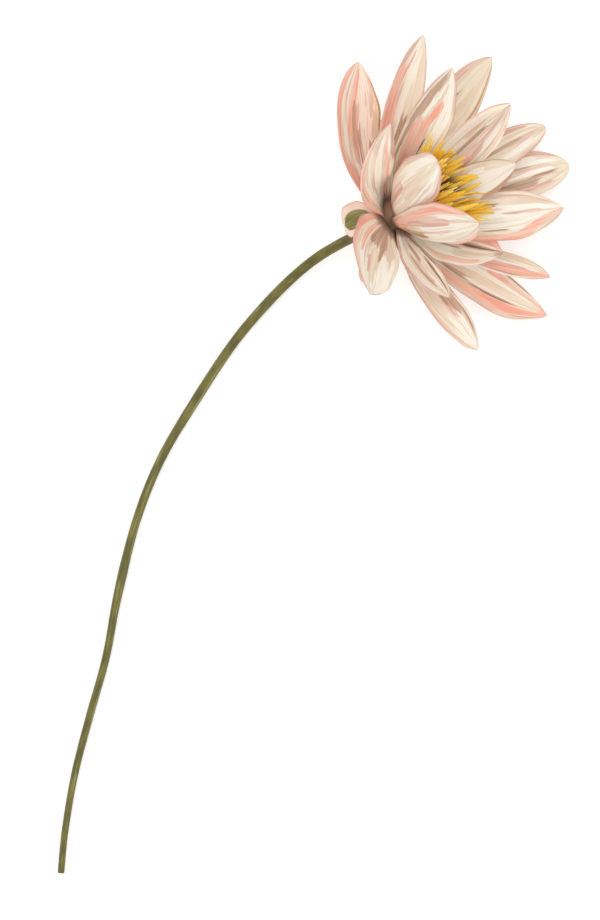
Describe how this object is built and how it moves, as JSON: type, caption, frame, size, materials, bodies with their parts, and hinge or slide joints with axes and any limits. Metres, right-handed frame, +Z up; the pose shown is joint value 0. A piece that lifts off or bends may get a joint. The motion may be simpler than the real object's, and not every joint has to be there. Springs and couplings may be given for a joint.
{
  "type": "water lily flower",
  "caption": "Open water lily flower cut with its long curved stem, lying on its side, with green-backed sepals, layered pointed petals, golden stamens and a rayed pistil.",
  "frame": {"origin": "on the surface that the flower lies on, under the middle of its bounding box", "axes": "+Z up from the surface, +Y along the stem from the cut end towards the flower's head, +X to the side that the flower faces"},
  "size_m": [0.2333, 0.3769, 0.0901],
  "materials": {
    "petal": "soft matt petal, cream with salmon pink margins and a brown base",
    "sepal": "soft matt, olive green back and pale inside",
    "stem": "smooth satin olive brown with paler lengthwise streaks",
    "stamen": "matt golden yellow filaments with darker anthers",
    "pistil": "matt dark golden brown with paler rays"
  },
  "bodies": {
    "root": {"stem": "stem", "sepal_1": "sepal", "sepal_2": "sepal", "sepal_3": "sepal", "sepal_4": "sepal", "petal_outer_1": "petal", "petal_outer_2": "petal", "petal_outer_3": "petal", "petal_outer_4": "petal", "petal_outer_5": "petal", "petal_second_1": "petal", "petal_second_2": "petal", "petal_second_3": "petal", "petal_second_4": "petal", "petal_second_5": "petal", "petal_second_6": "petal", "petal_third_1": "petal", "petal_third_2": "petal", "petal_third_3": "petal", "petal_third_4": "petal", "petal_third_5": "petal", "petal_inner_1": "petal", "petal_inner_2": "petal", "petal_inner_3": "petal", "petal_inner_4": "petal", "stamens": "stamen", "pistil": "pistil"}
  },
  "joints": []
}
